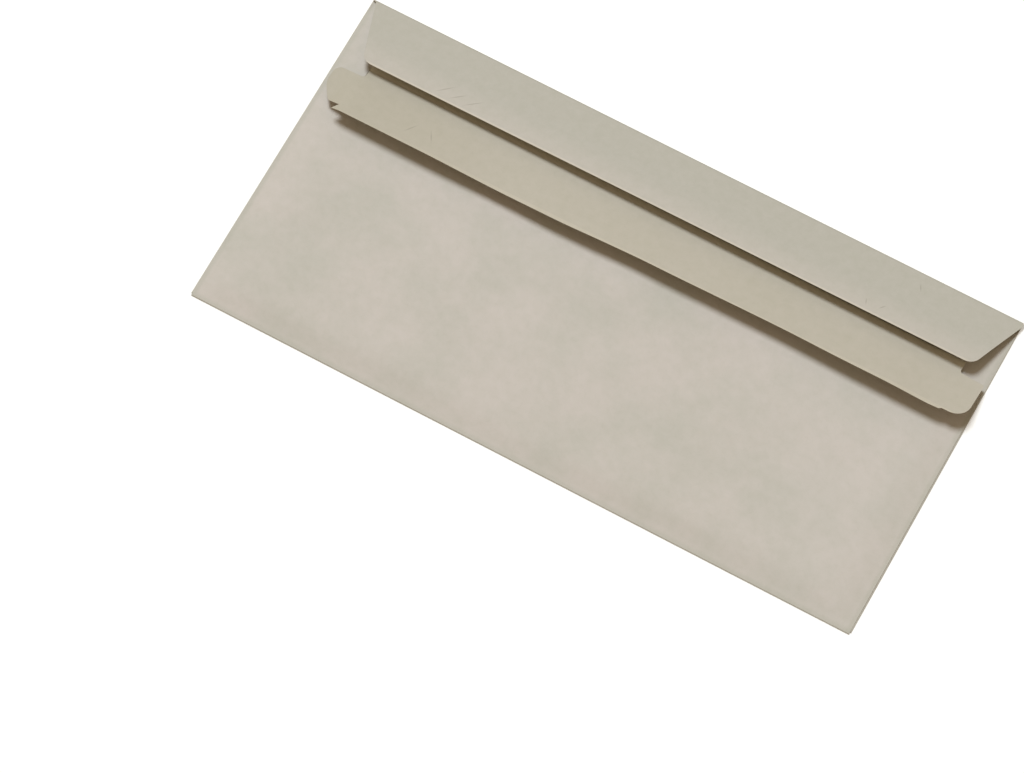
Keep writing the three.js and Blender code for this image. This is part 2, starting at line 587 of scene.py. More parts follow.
@dataclass(frozen=True)
class LatexGum:
    """Natural latex, rolled on as a thin milky film and dried.

    To the eye it is a cream band with a soft shine, faint streaks along the roller's run and a
    slightly cloudy body.
    """

    name: str = "dried_latex_gum"
    colour: int = 0xD2CFC0
    thin_colour: int = 0xC9C3B2
    streak_width: float = 0.7
    streak_length: float = 14.0
    streak_height: float = 0.02
    roughness: float = 0.38
    ior: float = 1.52

    def make(self) -> Material:
        """Builds the material.

        Returns:
            The material.
        """
        material, tree = new_material(self.name)
        place = add_node(tree, "ShaderNodeUVMap", uv_map=PATTERN_MAP)
        stretched = add_node(tree, "ShaderNodeMapping", {
            "Vector": place,
            "Scale": (per_metre(self.streak_length), per_metre(self.streak_width), 1.0)})
        streaks = add_node(tree, "ShaderNodeTexNoise", {
            "Vector": stretched, "Scale": 1.0, "Detail": 3.0})
        body = add_node(tree, "ShaderNodeMix", {
            0: streaks, 6: linear(self.thin_colour), 7: linear(self.colour)}, data_type="RGBA")
        close_material(tree, streaks, self.streak_height, {
            "Base Color": body.outputs[2], "Roughness": self.roughness, "IOR": self.ior})
        return material


@dataclass(frozen=True)
class SeamGlue:
    """Dextrin-like dispersion glue, laid as drops and pressed flat between two layers.

    To the eye it is a cream film with a dull shine and small wrinkles.
    """

    name: str = "pressed_seam_glue"
    colour: int = 0xD8D2C0
    wrinkle_size: float = 0.8
    wrinkle_height: float = 0.01
    roughness: float = 0.45

    def make(self) -> Material:
        """Builds the material.

        Returns:
            The material.
        """
        material, tree = new_material(self.name)
        place = add_node(tree, "ShaderNodeTexCoord").outputs["Object"]
        wrinkles = add_node(tree, "ShaderNodeTexNoise", {
            "Vector": place, "Scale": per_metre(self.wrinkle_size)})
        close_material(tree, wrinkles, self.wrinkle_height, {
            "Base Color": linear(self.colour), "Roughness": self.roughness})
        return material


@dataclass(frozen=True)
class Blank:
    """Die-cut sheet before it is folded: where its folds and free edges lie along its length.

    The address panel's middle is 0. The closing flap lies past the top fold, and the back panel and
    then the counter flap lie past the bottom fold, on the negative side.
    """

    side_fold: float
    top_fold: float
    bottom_fold: float
    counter_fold: float
    closing_edge: float
    counter_edge: float
    closing_skew: float
    counter_skew: float
    left_notch: float

    def outer_bands(self) -> tuple[ToneBand, ...]:
        """Tones of the outer face.

        Returns:
            The bands, each over the ones before it.
        """
        flap = self.closing_edge - self.top_fold
        return (
            ToneBand(0xD4CDC6, 0.25, self.side_fold, 2.0, 70.0, axis=Axis.ACROSS),
            # Painted shade: the closing flap is darker and greyer, the most near its crease where it
            # stands steepest to the light, and the next band paints it lighter towards its free
            # edge.
            ToneBand(0xB8B4A7, 1.0, self.top_fold + flap / 2, flap / 2 - 0.4, 0.8),
            ToneBand(0xC2BBAF, 0.75, self.closing_edge + 1.0, 2.0, 9.0),
            # Painted highlight: a pale line along the closing flap's free edge.
            ToneBand(0xD3CABB, 0.6, self.closing_edge, 0.5, 0.25, slope=self.closing_skew),
            # Painted shade: darker lines along the top fold, the bottom fold and both side folds.
            ToneBand(0x9D988A, 0.55, self.top_fold, 0.25, 0.9),
            ToneBand(0xB9B6A8, 0.6, self.bottom_fold, 0.6, 1.6),
            ToneBand(0xB9B6A8, 0.6, self.side_fold, 0.9, 1.4, axis=Axis.ACROSS, mirrored=True),
        )

    def inner_bands(self) -> tuple[ToneBand, ...]:
        """Tones of the inner face.

        Returns:
            The bands, each over the ones before it.
        """
        return (
            # Painted highlight: a pale line along the counter flap's free edge.
            ToneBand(0xCBC2AF, 0.5, self.counter_edge, 0.45, 0.25, slope=self.counter_skew),
            # Painted shade: the inner face darkens towards its left end, where the pressed left ear
            # bends.
            ToneBand(0xB5AE9C, 0.9, -self.side_fold, 2.0, 70.0, axis=Axis.ACROSS),
            # Painted light: a paler strip stands in for the light that shines through the closing
            # flap into its shadow.
            ToneBand(0xE2DBC9, 1.0, self.counter_fold - 1.2, 1.0, 1.0),
        )

    def outer_scuffs(self) -> tuple[ScuffOrShadeLine, ...]:
        """Scratches on the closing flap's outer face.

        Returns:
            The scratches.
        """
        past = self.top_fold + 1.3
        strokes = (((-78.2, 19.9), (-72.1, 13.9)), ((-73.2, 19.7), (-68.0, 15.1)),
                   ((-68.7, 20.0), (-62.3, 14.5)), ((66.3, 16.0), (67.4, 19.0)),
                   ((72.9, 15.5), (70.9, 18.0)), ((77.6, 2.6), (79.4, 6.2)))
        return tuple(ScuffOrShadeLine((x0, past + d0), (x1, past + d1)) for (x0, d0), (x1, d1) in strokes)

    def inner_scuffs_and_shade_line(self) -> tuple[ScuffOrShadeLine, ...]:
        """Scratches on the counter flap's inner face, and a painted shade line beside its left
        notch.

        Returns:
            The scratches and the painted shade line.
        """
        past = self.counter_fold - 0.8
        strokes = (((-79.7, 17.0), (-76.1, 11.1)), ((-72.7, 10.9), (-69.7, 16.3)))
        # Painted shade: a dark line beside the left notch, where the slit at the notch's side lies
        # in shade.
        shade_line_x = self.left_notch + 0.1
        return (*(ScuffOrShadeLine((x0, past - d0), (x1, past - d1)) for (x0, d0), (x1, d1) in strokes),
                ScuffOrShadeLine((shade_line_x, past), (shade_line_x, past - 5.2), 0.6, 0.9, 0x5F594A))


class Finishes:
    """The materials of the envelope, each made once."""

    def __init__(self, blank: Blank) -> None:
        """Makes the materials.

        Args:
            blank: The blank, whose tones and scratches the paper shows.
        """
        outer = RecycledPaper("recycled_paper_outer", 0xCAC2B8, 0xBEBAAD, 0xB6AFA1,
                              blank.outer_bands(), blank.outer_scuffs(), cloud_share=0.8).make()
        inner = RecycledPaper("recycled_paper_inner", 0xBDB6A6, 0xB7B19D, 0xADA692,
                              blank.inner_bands(), blank.inner_scuffs_and_shade_line(), cloud_share=0.2).make()
        edge = CutEdge().make()
        self.outer_first = (outer, inner, edge)
        self.inner_first = (inner, outer, edge)
        self.latex = LatexGum().make()
        self.glue = SeamGlue().make()


# Sheets of paper

@dataclass
class PaperSheet:
    """Piece of the sheet, cut flat on its pattern and then folded into place.

    The pattern is a closed outline. Its faces follow the cuts, so that the paper bends only along
    them, and it gets a front face, a back face and a cut edge.
    """

    name: str
    outline: list[tuple[float, float]]
    cuts_across: list[float]
    cuts_along: list[float]
    thickness: float
    place: Place
    blank_start: float = 0.0
    blank_sign: float = 1.0

    def flat_faces(self) -> bmesh.types.BMesh:
        """Cuts the flat pattern into cells.

        Returns:
            The flat mesh, in millimetres.
        """
        flat = bmesh.new()
        flat.faces.new([flat.verts.new((x, y, 0.0)) for x, y in self.outline])
        for normal, cuts in (((1, 0, 0), self.cuts_across), ((0, 1, 0), self.cuts_along)):
            for cut in cuts:
                bmesh.ops.bisect_plane(
                    flat, geom=flat.verts[:] + flat.edges[:] + flat.faces[:],
                    dist=CUT_TOLERANCE, plane_co=Vector(normal) * cut, plane_no=normal)
        bmesh.ops.triangulate(flat, faces=[face for face in flat.faces if len(face.verts) > 4])
        return flat

    def build(self, finishes: Sequence[Material]) -> Object:
        """Folds the pattern into a closed sheet.

        Args:
            finishes: Finish of the face on the outside of the folds, of the other face, and of
                the cut edge.

        Returns:
            The sheet's object, at the origin with its place in its mesh.
        """
        flat = self.flat_faces()
        sheet = bmesh.new()
        pattern = sheet.loops.layers.uv.new(PATTERN_MAP)
        top, bottom = (
            {vert: sheet.verts.new(self.place(vert.co.x, vert.co.y, depth) * MM)
             for vert in flat.verts} for depth in (0.0, self.thickness))
        on_blank = {
            new: (old.co.x * MM, (self.blank_start + self.blank_sign * old.co.y) * MM)
            for layer in (top, bottom) for old, new in layer.items()}

        def add_face(verts: list[bmesh.types.BMVert], finish: int) -> None:
            """Adds a face.

            Args:
                verts: Its corners.
                finish: Number of its finish.
            """
            face = sheet.faces.new(verts)
            face.material_index = finish
            face.smooth = True
            for loop in face.loops:
                loop[pattern].uv = on_blank[loop.vert]

        for face in flat.faces:
            add_face([top[v] for v in face.verts], 0)
            add_face([bottom[v] for v in reversed(face.verts)], 1)
        for border in (edge for edge in flat.edges if edge.is_boundary):
            a = border.link_loops[0].vert
            b = border.other_vert(a)
            add_face([top[b], top[a], bottom[a], bottom[b]], 2)
        flat.free()
        return finished_piece(self.name, sheet, finishes)


@dataclass
class Lie:
    """How the folded paper lies: pressed together at the folds, a little swollen between them."""

    half_width: float
    bottom: float
    mouth: float
    top: float
    swelling: float = 0.55
    lift_off: float = 0.25
    wave_x: float = 46.0
    wave_y: float = 30.0
    finer_x: float = 2.3
    finer_y: float = 2.1
    broad_share: float = 0.55
    fine_share: float = 0.22
    highest: float = 1.2
    margin: float = 13.0
    flat_sides: float = 2.5
    flat_bottom: float = 2.0
    flat_top: float = 1.0
    fold_out: float = 0.25
    side_press: float = 0.5
    bottom_press: float = 0.66
    press_reach: float = 8.0
    end_drop: float = 0.3
    back_seed: float = 3.7
    front_seed: float = 11.3

    def swell(self, x: float, y: float, top: float, seed: float) -> float:
        """How much the loose middle of a panel swells in soft random waves.

        Args:
            x: Place along the envelope.
            y: Place across the envelope.
            top: Where the panel ends.
            seed: Picks the waves.

        Returns:
            0 at the folds, and between 0 and about 1 away from them.
        """
        window = (ease(self.half_width - self.flat_sides - abs(x), 0.0, self.margin)
                  * ease(y - self.bottom, self.flat_bottom, self.margin)
                  * ease(top - y, self.flat_top, self.margin))
        broad = noise.noise(Vector((x / self.wave_x, y / self.wave_y, seed)))
        fine = noise.noise(Vector((
            x / self.wave_x * self.finer_x, y / self.wave_y * self.finer_y, seed + 7)))
        height = 0.5 + self.broad_share * broad + self.fine_share * fine
        return window * min(max(height, 0.0), self.highest)

    def sink(self, x: float, y: float) -> float:
        """How far the upper layers sink towards the side folds and the bottom fold.

        Args:
            x: Place along the envelope.
            y: Place across the envelope.

        Returns:
            The drop below the level that the layers have away from the folds.
        """
        beside = 1 - ease(self.half_width - abs(x), self.fold_out, self.press_reach)
        below = 1 - ease(y - self.bottom, self.fold_out, self.press_reach)
        share = self.side_press / self.bottom_press
        return self.bottom_press * (1 - (1 - share * beside) * (1 - below))

    def back(self, x: float, y: float) -> float:
        """Rise of the back panel, and of what is glued under it."""
        return self.swelling * self.swell(x, y, self.mouth, self.back_seed) - self.sink(x, y)

    def flap_end(self, y: float) -> float:
        """How far a side flap's end sinks under the closing flap's fold."""
        return self.end_drop * ease(y, self.top - self.press_reach, self.top - self.flat_top)

    def front(self, x: float, y: float) -> float:
        """Rise of the address panel off the table."""
        return self.lift_off * self.swell(x, y, self.top, self.front_seed)


@dataclass
class Pocket:
    """Address panel with its side flaps, and the back panel folded up over them and glued."""

    side_tail: float = 0.8
    side_tail_angle: float = math.radians(8)
    bottom_tail: float = 0.5
    bottom_tail_angle: float = math.radians(6)
    fold_steps: int = 24
    side_relief: float = 2.5
    side_margin: float = 0.4
    margin_steps: int = 5
    flap_corner_cut: float = 6.0
    notch_depth: float = 5.6
    notch_corner: float = 1.0
    foot_corner: float = 0.3
    glue_pitch: float = 5.44
    glue_drop: tuple[float, float] = (5.0, 2.2)

    def __post_init__(self) -> None:
        """Reads the levels and widths from the frame."""
        front = corners_of("front_panel")[1]
        side_fold = corners_of("right_side_fold")[1]
        back = corners_of("back_panel")[1]
        crease = corners_of("counter_flap_crease")[1]
        flap_low, flap_high = corners_of("right_side_flap")
        self.thickness, self.top = front.z, front.y
        self.half_width = side_fold.x
        self.flap_inner = flap_low.x
        self.flap_low, self.flap_high = flap_low.y, flap_high.y
        self.bottom = corners_of("bottom_fold")[0].y
        self.mouth = back.y
        self.counter_fold, self.notch_inner = crease.y, crease.x
        self.lie = Lie(self.half_width, self.bottom, self.mouth, self.top)
        self.side_bends = soft_fold(flap_high.z - self.lie.side_press, self.side_tail,
                                    self.side_tail_angle)
        self.side_run, side_reach = fold_size(self.side_bends)
        self.side_start = self.half_width - side_reach
        self.bottom_bends = soft_fold(back.z - self.lie.bottom_press, self.bottom_tail,
                                      self.bottom_tail_angle)
        self.bottom_run, bottom_reach = fold_size(self.bottom_bends)
        self.bottom_start = self.bottom + bottom_reach
        self.back_end = self.bottom_run - self.bottom_start + self.mouth

    def place_front(self, u: float, v: float, depth: float) -> Vector:
        """Folds the address panel's pattern: flat in the middle, its side flaps turned in.

        Args:
            u: Place across the pattern.
            v: Place along the pattern.
            depth: Distance below the outer face.

        Returns:
            The folded point.
        """
        past = abs(u) - self.side_start
        if past <= 0:
            return Vector((u, v, depth + self.lie.front(u, v)))
        inner = self.side_start - self.flap_inner
        section = Section(0.0, 0.0, [*self.side_bends, Bend(inner, math.pi, math.pi)])
        out, up = section.at(past, depth)
        x = math.copysign(self.side_start + out, u)
        over = ease(past, section.run_of(1), section.run_of(3))
        rise = self.lie.side_press + self.lie.back(x, v) - self.lie.flap_end(v)
        return Vector((x, v, up + over * rise))

    def front_sheet(self, finishes: Finishes) -> Object:
        """Address panel, side folds and side flaps.

        Args:
            finishes: The materials.

        Returns:
            The folded sheet.
        """
        half_fold = self.side_start + self.side_run / 2
        near = self.side_start + self.side_run
        far = near + self.side_start - self.flap_inner
        cut = self.flap_corner_cut
        right = [
            (half_fold, self.top, 0.0),
            (near + self.side_relief, self.flap_high, 0.0),
            (far - cut, self.flap_high, 0.0),
            (far, self.flap_high - cut, 0.0),
            (far, self.flap_low + cut, 0.0),
            (far - cut, self.flap_low, 0.0),
            (near + self.side_relief, self.flap_low, 0.0),
            (half_fold, self.bottom_start, 0.0),
        ]
        left = [(-x, y, r) for x, y, r in reversed(right)]
        fold_cuts = [self.side_start + self.side_run * i / self.fold_steps
                     for i in range(self.fold_steps + 1)]
        across = even_cuts(-self.side_start, self.side_start, CELL)
        across += [*fold_cuts, *(-c for c in fold_cuts)]
        for side in Side:
            across += [side.value * c for c in even_cuts(near, far, CELL)]
        along = even_cuts(self.bottom_start, self.top, CELL)
        sheet = PaperSheet("address_panel_sheet", rounded_outline(right + left), across, along,
                           self.thickness, self.place_front)
        return sheet.build(finishes.outer_first)

    def place_back(self, u: float, v: float, depth: float) -> Vector:
        """Folds the back panel's pattern up round the bottom fold. Its start is 0 along v.

        Args:
            u: Place across the pattern.
            v: Place along the pattern.
            depth: Distance below the outer face.

        Returns:
            The folded point.
        """
        rest = self.mouth - self.bottom_start
        section = Section(0.0, 0.0, [*self.bottom_bends, Bend(rest, math.pi, math.pi)])
        out, up = section.at(v, depth)
        y = self.bottom_start - out
        over = ease(v, section.run_of(1), section.run_of(3))
        return Vector((u, y, up + over * (self.lie.bottom_press + self.lie.back(u, y))))

    def back_sheet(self, finishes: Finishes) -> Object:
        """Bottom fold and back panel, with the notches at its top.

        Args:
            finishes: The materials.

        Returns:
            The folded sheet.
        """
        notch = self.bottom_run - self.bottom_start + (self.counter_fold - self.notch_depth)
        wide, inner = self.half_width - self.side_margin, self.notch_inner
        corners = [
            (CUT_SHIFT + inner, self.back_end, 0.0),
            (CUT_SHIFT + inner, notch, self.notch_corner),
            (wide, notch, self.notch_corner),
            (wide, 0.0, self.foot_corner),
            (-wide, 0.0, self.foot_corner),
            (-wide, notch, self.notch_corner),
            (CUT_SHIFT - inner, notch, self.notch_corner),
            (CUT_SHIFT - inner, self.back_end, 0.0),
        ]
        margin_cuts = [self.side_start + (wide - self.side_start) * i / self.margin_steps
                       for i in range(self.margin_steps)]
        across = even_cuts(-self.side_start, self.side_start, CELL)
        across += [*margin_cuts, *(-c for c in margin_cuts)]
        along = [self.bottom_run * i / self.fold_steps for i in range(1, self.fold_steps + 1)]
        along += even_cuts(self.bottom_run, self.back_end, CELL)
        sheet = PaperSheet("back_panel_sheet", rounded_outline(corners), across, along,
                           self.thickness, self.place_back, self.bottom_start, -1.0)
        return sheet.build(finishes.outer_first)

    def seam(self, side: Side, finishes: Finishes) -> Object:
        """Rows of glue drops between a side flap and the back panel.

        Args:
            side: Side of the envelope.
            finishes: The materials.

        Returns:
            The drops.
        """
        node = f"{side.name.lower()}_seam_glue"
        low, high = corners_of(node)
        middle = (low + high) / 2

        def place(x: float, y: float, z: float) -> Vector:
            """Lays the flat rows between the layers, with their swelling."""
            at_x, at_y = middle.x + x, middle.y + y
            return Vector((at_x, at_y, low.z + z + self.lie.back(at_x, at_y)))

        size = (high.x - low.x, high.y - low.y, high.z - low.z)
        drops = GlueDrops(f"{node}_drops", size, self.glue_pitch, self.glue_drop,
                          seed=5 + side.value)
        return drops.build(finishes.glue, place)

    def build(self, finishes: Finishes) -> list[Object]:
        """Builds the pocket's pieces and ties them to the frame.

        Args:
            finishes: The materials.

        Returns:
            The pieces.
        """
        front = self.front_sheet(finishes)
        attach(front, Body.POCKET.value)
        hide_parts("front_panel", "left_side_fold", "right_side_fold",
                    "left_side_flap", "right_side_flap")
        back = self.back_sheet(finishes)
        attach(back, Body.POCKET.value)
        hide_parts("bottom_fold", "back_panel")
        pieces = [front, back]
        for side in Side:
            glue = self.seam(side, finishes)
            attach(glue, Body.POCKET.value)
            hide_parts(f"{side.name.lower()}_seam_glue")
            pieces.append(glue)
        return pieces


# Glue and gum, made by Geometry Nodes

SOCKET_TYPES = {int: "NodeSocketInt", float: "NodeSocketFloat", Material: "NodeSocketMaterial"}


def new_tree(name: str, inputs: dict[str, type]) -> tuple[Tree, bpy.types.NodeOutputs]:
    """Starts a geometry node tree with named inputs and one geometry output.

    Args:
        name: Name of the tree.
        inputs: Type of each input, by the input's name.

    Returns:
        The tree and its inputs, as sockets that can be linked.
    """
    tree = bpy.data.node_groups.new(name, "GeometryNodeTree")
    tree.interface.new_socket("Geometry", in_out="OUTPUT", socket_type="NodeSocketGeometry")
    for label, kind in inputs.items():
        tree.interface.new_socket(label, in_out="INPUT", socket_type=SOCKET_TYPES[kind])
    return tree, tree.nodes.new("NodeGroupInput").outputs


def close_tree(tree: Tree, geometry: Node, finish: bpy.types.NodeSocket) -> None:
    """Ends a tree by making its instances real and setting the material.

    Args:
        tree: The geometry node tree.
        geometry: Last node of the shape.
        finish: Input that holds the material.
    """
    real = add_node(tree, "GeometryNodeRealizeInstances", {0: geometry})
    add_node(tree, "NodeGroupOutput", {0: add_node(tree, "GeometryNodeSetMaterial", {
        "Geometry": real, "Material": finish})})


def grown(name: str, tree: Tree, values: dict[str, Any], place: Place) -> Object:
    """Runs a tree once and lays its flat result in place as a plain mesh.

    Args:
        name: Name of the new object.
        tree: Geometry node tree.
        values: Value of each named input.
        place: Where a point of the flat result goes, in millimetres.

    Returns:
        The new object, at the origin with its place in its mesh.
    """
    carrier = in_scene(f"{name}_flat", bpy.data.meshes.new(f"{name}_flat"))
    modifier = carrier.modifiers.new("Grow", "NODES")
    modifier.node_group = tree
    for item in tree.interface.items_tree:
        if item.name in values:
            modifier[item.identifier] = values[item.name]
    carrier.update_tag()
    graph = bpy.context.evaluated_depsgraph_get()
    flat = bpy.data.meshes.new_from_object(carrier.evaluated_get(graph))
    carrier.modifiers.remove(modifier)
    shape = bmesh.new()
    shape.from_mesh(flat)
    empty = carrier.data
    bpy.data.objects.remove(carrier)
    for used in (empty, flat):
        bpy.data.meshes.remove(used)
    for layer in list(shape.loops.layers.uv.values()):
        shape.loops.layers.uv.remove(layer)
    pattern = shape.loops.layers.uv.new(PATTERN_MAP)
    for face in shape.faces:
        face.smooth = True
        face.material_index = 0
        for loop in face.loops:
            loop[pattern].uv = (loop.vert.co.x * MM, loop.vert.co.y * MM)
    for vert in shape.verts:
        vert.co = place(*vert.co) * MM
    return finished_piece(name, shape, [values["Finish"]])


@dataclass
class GlueDrops:
    """Rows of glue drops, pressed to the height of the gap that they fill."""

    name: str
    size: Triple
    pitch: float
    drop: tuple[float, float]
    seed: int
    rows: int = 2
    side_margin: float = 1.0
    wander: Triple = (0.3, 0.4, 0.0)
    least: float = 0.7
    segments: int = 12
    rings: int = 6

    def tree(self) -> Tree:
        """Geometry nodes that lay the drops on a grid, each a little off its place and smaller.

        Returns:
            The node tree.
        """
        tree, given = new_tree("glue_drops", {
            "Count": int, "Pitch": float, "Rows": int, "Row Gap": float, "Drop Length": float,
            "Drop Width": float, "Height": float, "Seed": int, "Finish": Material})
        length = add_node(tree, "ShaderNodeMath", {0: given["Count"], 1: given["Pitch"]},
                          operation="MULTIPLY")
        grid = add_node(tree, "GeometryNodeMeshGrid", {
            "Size X": given["Row Gap"], "Size Y": length,
            "Vertices X": given["Rows"], "Vertices Y": given["Count"]})
        offset = add_node(tree, "FunctionNodeRandomValue", {
            "Min": tuple(-w for w in self.wander), "Max": self.wander, "Seed": given["Seed"],
        }, data_type="FLOAT_VECTOR")
        spread = add_node(tree, "GeometryNodeSetPosition", {"Geometry": grid, "Offset": offset})
        drop = add_node(tree, "GeometryNodeMeshUVSphere", {
            "Segments": self.segments, "Rings": self.rings, "Radius": 0.5})
        full = add_node(tree, "ShaderNodeCombineXYZ", {
            "X": given["Drop Width"], "Y": given["Drop Length"], "Z": given["Height"]})
        amount = add_node(tree, "FunctionNodeRandomValue", {
            2: self.least, 3: 1.0, "Seed": given["Seed"]}, data_type="FLOAT").outputs[1]
        shrink = add_node(tree, "ShaderNodeCombineXYZ", {"X": amount, "Y": amount, "Z": 1.0})
        scale = add_node(tree, "ShaderNodeVectorMath", {0: full, 1: shrink}, operation="MULTIPLY")
        placed = add_node(tree, "GeometryNodeInstanceOnPoints", {
            "Points": spread, "Instance": drop, "Scale": scale})
        half = add_node(tree, "ShaderNodeMath", {0: given["Height"], 1: 0.5}, operation="MULTIPLY")
        up = add_node(tree, "ShaderNodeCombineXYZ", {"Z": half})
        lifted = add_node(tree, "GeometryNodeTransform", {"Geometry": placed, "Translation": up})
        close_tree(tree, lifted, given["Finish"])
        return tree

    def build(self, finish: Material, place: Place) -> Object:
        """Grows the drops and lays them in place.

        Args:
            finish: Material of the glue.
            place: Where a point of the flat rows goes.

        Returns:
            The drops.
        """
        across, along, height = self.size
        length, width = self.drop
        return grown(self.name, self.tree(), {
            "Count": int(along / self.pitch), "Pitch": self.pitch, "Rows": self.rows,
            "Row Gap": across - width - self.side_margin, "Drop Length": length,
            "Drop Width": width, "Height": height, "Seed": self.seed, "Finish": finish}, place)


@dataclass
class GumStrip:
    """Film of latex gum whose long edges wander a little, as a roller leaves them."""

    name: str
    length: float
    width: float
    seed: int
    height: float = 0.04
    wander: float = 1.4
    edge_power: float = 5.0
    wave_rate: float = 0.22
    weld: float = 0.001
    columns: int = 197
    rows: int = 13

    def tree(self) -> Tree:
        """Geometry nodes that pull a grid's long edges about and give it a thickness.

        Returns:
            The node tree.
        """
        tree, given = new_tree("gum_film", {
            "Length": float, "Width": float, "Height": float, "Wander": float, "Seed": int,
            "Finish": Material})
        grid = add_node(tree, "GeometryNodeMeshGrid", {
            "Size X": given["Length"], "Size Y": given["Width"],
            "Vertices X": self.columns, "Vertices Y": self.rows})
        parts = add_node(tree, "ShaderNodeSeparateXYZ", {
            0: add_node(tree, "GeometryNodeInputPosition")})
        half = add_node(tree, "ShaderNodeMath", {0: given["Width"], 1: 0.5}, operation="MULTIPLY")
        share = add_node(tree, "ShaderNodeMath", {0: parts.outputs["Y"], 1: half},
                         operation="DIVIDE")
        edge = add_node(tree, "ShaderNodeMath", {0: share, 1: self.edge_power}, operation="POWER")
        shifted = add_node(tree, "ShaderNodeMath", {0: parts.outputs["Y"], 1: given["Seed"]},
                           operation="ADD")
        lookup = add_node(tree, "ShaderNodeCombineXYZ", {"X": parts.outputs["X"], "Y": shifted})
        waves = add_node(tree, "ShaderNodeTexNoise", {
            "Vector": lookup, "Scale": self.wave_rate, "Detail": 3.0})
        centred = add_node(tree, "ShaderNodeMath", {0: waves, 1: 0.5}, operation="SUBTRACT")
        moved = add_node(tree, "ShaderNodeMath", {0: centred, 1: edge}, operation="MULTIPLY")
        scaled = add_node(tree, "ShaderNodeMath", {0: moved, 1: given["Wander"]},
                          operation="MULTIPLY")
        offset = add_node(tree, "ShaderNodeCombineXYZ", {"Y": scaled})
        shaped = add_node(tree, "GeometryNodeSetPosition", {"Geometry": grid, "Offset": offset})
        up = add_node(tree, "ShaderNodeCombineXYZ", {"Z": given["Height"]})
        raised = add_node(tree, "GeometryNodeExtrudeMesh", {
            "Mesh": shaped, "Offset": up, "Individual": False}, mode="FACES")
        under = add_node(tree, "GeometryNodeFlipFaces", {0: shaped})
        both = add_node(tree, "GeometryNodeJoinGeometry", {0: raised})
        tree.links.new(under.outputs[0], both.inputs[0])
        welded = add_node(tree, "GeometryNodeMergeByDistance", {
            "Geometry": both, "Distance": self.weld})
        close_tree(tree, welded, given["Finish"])
        return tree

    def build(self, finish: Material, place: Place) -> Object:
        """Grows the film and lays it on its flap.

        Args:
            finish: Material of the gum.
            place: Where a point of the flat film goes.

        Returns:
            The film.
        """
        return grown(self.name, self.tree(), {
            "Length": self.length, "Width": self.width, "Height": self.height,
            "Wander": self.wander, "Seed": self.seed, "Finish": finish}, place)


@dataclass
class Flap:
    """Flap that rolls out of its crease on a hinge of the frame, with gum on its hidden face.

    Its pattern starts at the crease, which is 0 along v, and goes on to the free edge.
    """

    half_width: float
    thickness: float
    fold_radius: float
    lift_at_fold: float
    lift_at_edge: float
    depth: float
    blank_start: float = 0.0
    blank_sign: float = 1.0
    roll_steps: int = 16
    row: float = 1.0

    def hang(self, hinge: str, level: float) -> None:
        """Sets the flap's section on a hinge.

        Args:
            hinge: Name of the hinge.
            level: Height of the outer face where the crease starts.
        """
        self.axis = hinge_of(hinge)
        turn = math.pi - self.lift_at_fold
        self.roll = self.fold_radius * turn
        self.section = Section(self.axis.y, level, [
            Bend(self.roll, 0.0, turn), Bend(self.depth, turn, math.pi - self.lift_at_edge)])

    def rise(self, u: float, past: float) -> float:
        """Rise of the flap above its plain section, at a distance past its crease."""
        raise NotImplementedError

    def place(self, u: float, v: float, depth: float) -> Vector:
        """Point of the flap from its pattern."""
        y, z = self.section.at(v, depth)
        return Vector((u, y, z + self.rise(u, max(0.0, v - self.roll))))

    def folded(self, name: str, corners: Iterable[Corner], finishes: Sequence[Material]) -> Object:
        """Cuts the crease and the flap as one sheet and folds it.

        Args:
            name: Name of the sheet.
            corners: Outline of the pattern.
            finishes: Finishes of the two faces and the cut edge.

        Returns:
            The folded sheet.
        """
        across = even_cuts(-self.half_width, self.half_width, CELL)
        along = [self.roll * i / self.roll_steps for i in range(1, self.roll_steps + 1)]
        along += even_cuts(self.roll, self.roll + self.depth, self.row)
        return PaperSheet(name, rounded_outline(corners), across, along, self.thickness,
                          self.place, self.blank_start, self.blank_sign).build(finishes)

    def gum_film(self, node: str, lift: float, seed: int, latex: Material) -> Object:
        """Latex strip on the face inside the fold.

        Args:
            node: The strip's node in the frame.
            lift: Slope of the flap where the strip lies.
            seed: Picks the wander of the strip's edges.
            latex: The gum's material.

        Returns:
            The film.
        """
        low, high = corners_of(node)
        width = (high.y - low.y) / math.cos(lift)
        middle = self.roll + (self.axis.y - high.y) / math.cos(lift) + width / 2

        def place(x: float, y: float, z: float) -> Vector:
            """Lays the film on the face inside the fold."""
            return self.place(x + CUT_SHIFT, middle + y, self.thickness + z)

        return GumStrip(f"{node}_film", high.x - low.x, width, seed).build(latex, place)


